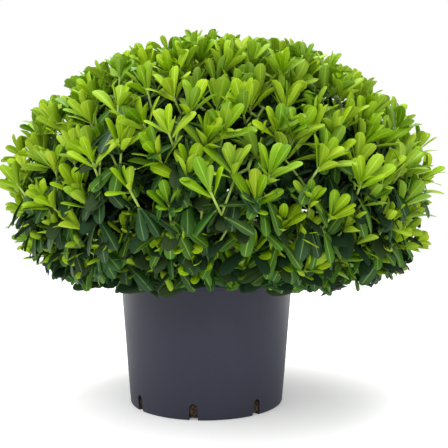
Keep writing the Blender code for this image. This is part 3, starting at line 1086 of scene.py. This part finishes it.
@dataclass
class Foliage:
    """All twigs and leaves of the crown.

    Depth and clump set how far inside the outline the tips stand, evenly and in clumps. The sizes
    from limit to ragged keep leaves within the outline, off the pot and above its rim. A tint's
    likeliest place is tint_mode at the crown's middle height, and rises by tint_rise to its top.
    """

    crown: Crown
    pot: PotShape
    shoots: int = 670
    lowest: float = -0.66
    jitter: float = 0.035
    depth: tuple[float, float] = (0.028, 0.068)
    clump: float = 0.038
    clump_scale: float = 3.3
    foot_at: float = 0.44
    foot_radius: float = 0.0034
    fork_at: float = 0.58
    fork_share: float = 0.45
    twig_radius: float = 0.0030
    twig_sides: int = 6
    thinning: float = 0.86
    shoot_radius: float = 0.0015
    shoot_length: float = 0.042
    shoot_share: float = 0.7
    stiffness: float = 0.55
    spacing: float = 0.0016
    young_angles: tuple[float, float] = (12.0, 54.0)
    young_length: tuple[float, float] = (0.040, 0.052)
    young_growth: tuple[float, float] = (0.80, 1.04)
    lean: float = 8.0
    whorl_lean: float = 16.0
    tint_mode: float = 1.3
    tint_rise: float = 1.0
    tint_margin: float = 0.01
    tint_kept: float = 0.7
    limit: float = 0.968
    shortening: float = 4.0
    shortest: float = 0.72
    grace: float = 0.035
    pot_gap: float = 0.004
    lowest_leaf: float = 0.188
    lowest_knee: float = 0.203
    lowest_tip: float = 0.206
    ragged: float = 0.006
    chance: random.Random = field(default_factory=lambda: random.Random(SEED))
    forms: dict[Kind, list[Template]] = field(init=False)
    twig: Template = field(init=False)
    piles: dict[tuple[Tier, Kind], Joined] = field(default_factory=dict)
    twigs: dict[Tier, Joined] = field(default_factory=dict)
    leaves: int = 0

    def __post_init__(self) -> None:
        """Build the templates of the leaves and of a twig with length and radius 1."""
        self.forms = {kind: [form.template() for form in FORMS[kind]] for kind in Kind}
        bm = bmesh.new()
        bmesh.ops.create_cone(
            bm, cap_ends=True, segments=self.twig_sides, radius1=1.0, radius2=1.0, depth=1.0
        )
        bmesh.ops.translate(bm, verts=bm.verts, vec=(0.0, 0.0, 0.5))
        self.twig = Template.of(bm)

    def spread(self, masses: list[Mass]) -> None:
        """Stand the shoots' tips evenly over the crown, each with its nearest mass.

        Args:
            masses: the crown's masses, which take the tips.
        """
        for index in range(self.shoots):
            level = 1.0 - 2.0 * (index + 0.5) / self.shoots
            if level < self.lowest:
                break
            width = math.sqrt(1.0 - level * level)
            turn = index * GOLDEN_ANGLE
            way = Vector((width * math.cos(turn), width * math.sin(turn), level))
            way += Vector([self.chance.uniform(-self.jitter, self.jitter) for _ in range(3)])
            way.normalize()
            depth = self.chance.uniform(*self.depth)
            depth += self.clump * noise.noise(way * self.clump_scale)
            tip = self.crown.centre + (self.crown.reach(way) - depth) * way
            if tip.z > self.lowest_tip:
                max(masses, key=lambda mass: mass.direction.dot(way)).tips.append(tip)

    def add_twig(self, tier: Tier, start: Vector, end: Vector, first: float, last: float) -> None:
        """Add one straight piece of twig.

        Args:
            tier: the tier that it belongs to.
            start: its foot.
            end: its tip.
            first: radius at its foot.
            last: radius at its tip.
        """
        turn = np.array(UP.rotation_difference((end - start).normalized()).to_matrix())
        points = self.twig.points.copy()
        points[:, :2] *= (first + (last - first) * points[:, 2])[:, None]
        points[:, 2] *= (end - start).length
        pile = self.twigs.setdefault(tier, Joined(f"twigs_{tier.name}"))
        pile.add(self.twig, points @ turn.T + np.array(start), 0)

    def hung(
        self, kind: Kind, root: Vector, straight: Vector, slant: float, length: float
    ) -> Vector | None:
        """Let a leaf sag by as much as keeps its tip above the rim.

        Args:
            kind: its kind.
            root: where it leaves the shoot.
            straight: its direction if it didn't sag.
            slant: sine of its angle from the shoot.
            length: its length.

        Returns:
            Its direction, or None where its tip would hang too low.
        """
        lowest = self.lowest_leaf + self.chance.uniform(-self.ragged, self.ragged)
        for sag in SAGS[kind]:
            along = (straight - sag * slant * UP).normalized()
            if root.z + length * along.z > lowest:
                return along
        return None

    def fitted(self, root: Vector, along: Vector, length: float) -> float | None:
        """Shorten a leaf that would pass the crown's outline.

        Args:
            root: where it leaves the shoot.
            along: its direction.
            length: its length.

        Returns:
            Its new length, or None where it would pass the outline even so.
        """
        reach = self.crown.share(root + length * along)
        if reach <= self.limit:
            return length
        length *= max(self.shortest, 1.0 - (reach - self.limit) * self.shortening)
        passes = self.crown.share(root + length * along) > self.limit + self.grace
        return None if passes else length

    def meets_pot(self, points: np.ndarray) -> bool:
        """Tell whether any of a leaf's points comes too near the pot."""
        low = points[:, 2] < self.pot.height + self.pot_gap
        near = np.hypot(points[:, 0], points[:, 1]) < self.pot.rim_radius + self.pot_gap
        return bool((low & near).any())

    def add_leaf(
        self, tier: Tier, kind: Kind, tint: int, root: Vector, axis: Vector,
        angle: float, turn: float, length: float,
    ) -> None:
        """Add one leaf where it keeps to the crown's reach and clear of the pot.

        Args:
            tier: the tier that it belongs to.
            kind: its kind.
            tint: which tint of its kind.
            root: where it leaves the shoot.
            axis: the shoot's direction.
            angle: its angle from the axis, in radians.
            turn: its turn about the axis.
            length: its length.
        """
        outward = across(axis, turn)
        straight = math.cos(angle) * axis + math.sin(angle) * outward
        along = self.hung(kind, root, straight, math.sin(angle), length)
        size = None if along is None else self.fitted(root, along, length)
        if size is None:
            return
        side = (math.sin(angle) * axis - math.cos(angle) * outward).cross(along).normalized()
        template = self.chance.choice(self.forms[kind])
        basis = np.array([along, side, along.cross(side)])
        points = template.points @ basis * size + np.array(root)
        if self.meets_pot(points):
            return
        pile = self.piles.setdefault((tier, kind), Joined(f"{kind.value}_leaves_{tier.name}"))
        pile.add(template, points, tint * len(LeafPart))
        self.leaves += 1

    def add_rosette(
        self, tier: Tier, tip: Vector, axis: Vector, outward: Vector, turn: float
    ) -> float:
        """Add the young leaves round a shoot's tip, the inner ones more upright.

        Args:
            tier: the shoot's tier.
            tip: its tip.
            axis: its direction.
            outward: direction of the tip from the crown's centre.
            turn: the last turn about the axis.

        Returns:
            The new last turn.
        """
        chance = self.chance
        tints = len(TINTS[Kind.YOUNG])
        mode = self.tint_mode + self.tint_rise * outward.z
        tint = int(chance.triangular(0.0, tints - self.tint_margin, mode))
        count = chance.randint(*tier.young)
        for index in range(count):
            turn += GOLDEN_ANGLE
            share = (index + 0.5) / count
            angle = self.young_angles[0] + (self.young_angles[1] - self.young_angles[0]) * share
            angle += chance.uniform(-self.lean, self.lean)
            growth = self.young_growth[0] + (self.young_growth[1] - self.young_growth[0]) * share
            size = chance.uniform(*self.young_length) * tier.young_size * growth
            near = tint if chance.random() < self.tint_kept else chance.randrange(tints)
            root = tip - index * self.spacing * axis
            self.add_leaf(tier, Kind.YOUNG, near, root, axis, math.radians(angle), turn, size)
        return turn

    def dress(self, tier: Tier, start: Vector, tip: Vector, radius: float) -> None:
        """Grow one shoot with its leaves: a bent twig, a young rosette and the whorls below.

        Args:
            tier: its tier.
            start: the fork that it leaves.
            tip: its tip.
            radius: the twig's radius at the fork.
        """
        chance = self.chance
        outward = (tip - self.crown.centre).normalized()
        lifted = ((1.0 - tier.lift) * outward + tier.lift * UP).normalized()
        axis = (lifted + self.stiffness * (tip - start).normalized()).normalized()
        knee = tip - min(self.shoot_length, self.shoot_share * (tip - start).length) * axis
        if knee.z < self.lowest_knee:
            axis = (tip - start).normalized()
            knee = start.lerp(tip, 0.5)
        middle = 0.5 * (radius + self.shoot_radius)
        self.add_twig(tier, start, knee, radius, middle)
        self.add_twig(tier, knee, tip, middle, self.shoot_radius)
        turn = self.add_rosette(tier, tip, axis, outward, chance.uniform(0.0, math.tau))
        for whorl in tier.whorls():
            tint = chance.randrange(len(TINTS[whorl.kind]))
            for _ in range(chance.randint(*whorl.count)):
                turn += GOLDEN_ANGLE
                angle = math.radians(whorl.angle + chance.uniform(-self.whorl_lean, self.whorl_lean))
                root = tip - chance.uniform(*whorl.below) * axis
                size = chance.uniform(*whorl.length)
                self.add_leaf(tier, whorl.kind, tint, root, axis, angle, turn, size)

    def fork(self, tier: Tier, start: Vector, tips: list[Vector], radius: float) -> None:
        """Fork a twig towards its tips until each has a shoot of its own.

        Args:
            tier: the mass's tier.
            start: where the twig stands.
            tips: the tips that it leads to.
            radius: its radius there.
        """
        if len(tips) == 1:
            self.dress(tier, start, tips[0], radius)
            return
        pairs = [(one, two) for one in tips for two in tips]
        one, two = max(pairs, key=lambda pair: (pair[0] - pair[1]).length)
        ordered = sorted(tips, key=lambda tip: tip.dot(two - one))
        half = (len(ordered) + self.chance.randint(0, 1)) // 2
        thinner = max(self.shoot_radius, radius * self.thinning)
        for group in (ordered[:half], ordered[half:]):
            if len(group) == 1:
                self.fork(tier, start, group, thinner)
                continue
            place = start.lerp(sum(group, Vector()) / len(group), self.fork_share)
            self.add_twig(tier, start, place, radius, thinner)
            self.fork(tier, place, group, thinner)

    def build(self, masses: list[Mass]) -> list[bpy.types.Object]:
        """Grow every mass and join its leaves and twigs, each kind apart.

        Args:
            masses: the crown's masses.

        Returns:
            The finished pieces.
        """
        self.spread(masses)
        for mass in masses:
            foot, start = (mass.along(self.crown, share) for share in (self.foot_at, self.fork_at))
            self.add_twig(mass.tier, foot, start, self.foot_radius, self.twig_radius)
            self.fork(mass.tier, start, mass.tips, self.twig_radius)
        green = GREEN_STEM.material()
        leafy = {kind: sum((tint.materials() for tint in TINTS[kind]), []) for kind in Kind}
        jobs = [(tier, pile, leafy[kind], tier.slot) for (tier, kind), pile in self.piles.items()]
        jobs += [(tier, pile, [green], "bark") for tier, pile in self.twigs.items()]
        pieces = []
        for tier, pile, materials, slot in jobs:
            piece = pile.finish(materials)
            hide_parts(*[mass.name for mass in masses if mass.tier is tier])
            pieces.append(piece)
        return pieces


@dataclass(frozen=True)
class Lamp:
    """A square area light that faces the crown."""

    name: str
    place: Triple
    size: float
    power: float
    aim: Triple = (0.0, 0.0, 0.3)

    def hang(self) -> None:
        """Put the light in the scene."""
        data = bpy.data.lights.new(self.name, "AREA")
        data.size = self.size
        data.energy = self.power
        lamp = placed(data)
        lamp.location = self.place
        way = Vector(self.aim) - Vector(self.place)
        lamp.rotation_euler = way.to_track_quat("-Z", "Y").to_euler()


@dataclass
class Studio:
    """Pale floor, soft lights and the camera.

    The camera looks level towards +Y and is then turned by yaw to the right and pitch upwards,
    in degrees.
    """

    eye: Triple = (0.0, -0.915, 0.25)
    yaw: float = 1.76
    pitch: float = 2.1
    focal_pixels: float = 553.0
    frame_pixels: float = 448.0
    sensor: float = 36.0
    floor_radius: float = 40.0
    floor_sides: int = 64
    world_strength: float = 1.0
    lamps: tuple[Lamp, ...] = (
        Lamp("key", (-0.7, -1.2, 2.4), 2.4, 56.0),
        Lamp("top", (0.2, 0.3, 2.5), 2.4, 50.0),
    )

    def lay_floor(self) -> None:
        """Lay the wide pale floor, which glows faintly."""
        bm = bmesh.new()
        bmesh.ops.create_circle(
            bm, cap_ends=True, segments=self.floor_sides, radius=self.floor_radius
        )
        floor = placed(as_mesh("floor", bm), FloorFinish().material())

    def light_world(self) -> None:
        """Light the scene evenly from all round."""
        world = bpy.data.worlds.new("studio")
        world.use_nodes = True
        background = world.node_tree.nodes["Background"]
        background.inputs["Color"].default_value = WHITE
        background.inputs["Strength"].default_value = self.world_strength
        bpy.context.scene.world = world

    def place_camera(self) -> None:
        """Stand the camera where the photograph was taken from."""
        lens = bpy.data.cameras.new("camera")
        lens.sensor_width = self.sensor
        lens.lens = self.focal_pixels / self.frame_pixels * self.sensor
        camera = placed(lens)
        camera.location = self.eye
        camera.rotation_euler = (math.radians(90.0 + self.pitch), 0.0, -math.radians(self.yaw))
        bpy.context.scene.camera = camera

    def build(self) -> None:
        """Set up the floor, the lights and the camera."""
        self.lay_floor()
        self.light_world()
        for lamp in self.lamps:
            lamp.hang()
        self.place_camera()
        bpy.context.scene.view_settings.view_transform = "Standard"


def main() -> None:
    """Build the plant from the pot up, and the studio round it."""
    logging.basicConfig(level=logging.INFO, format="%(name)s: %(message)s")
    crown = Crown()
    masses = [Mass(tier, index) for tier in TIERS for index in range(tier.count)]
    pot = PotShape()
    foliage = Foliage(crown, pot)
    pieces = [pot.build(), SoilShape(pot).build(), *Limbs().build(masses, crown)]
    pieces += foliage.build(masses)
    for piece in pieces:
        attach(piece, "root")
        LOG.info("%s has %d faces", piece.name, len(piece.data.polygons))
    LOG.info("%d leaves", foliage.leaves)
    Studio().build()


if __name__ == "__main__":
    main()
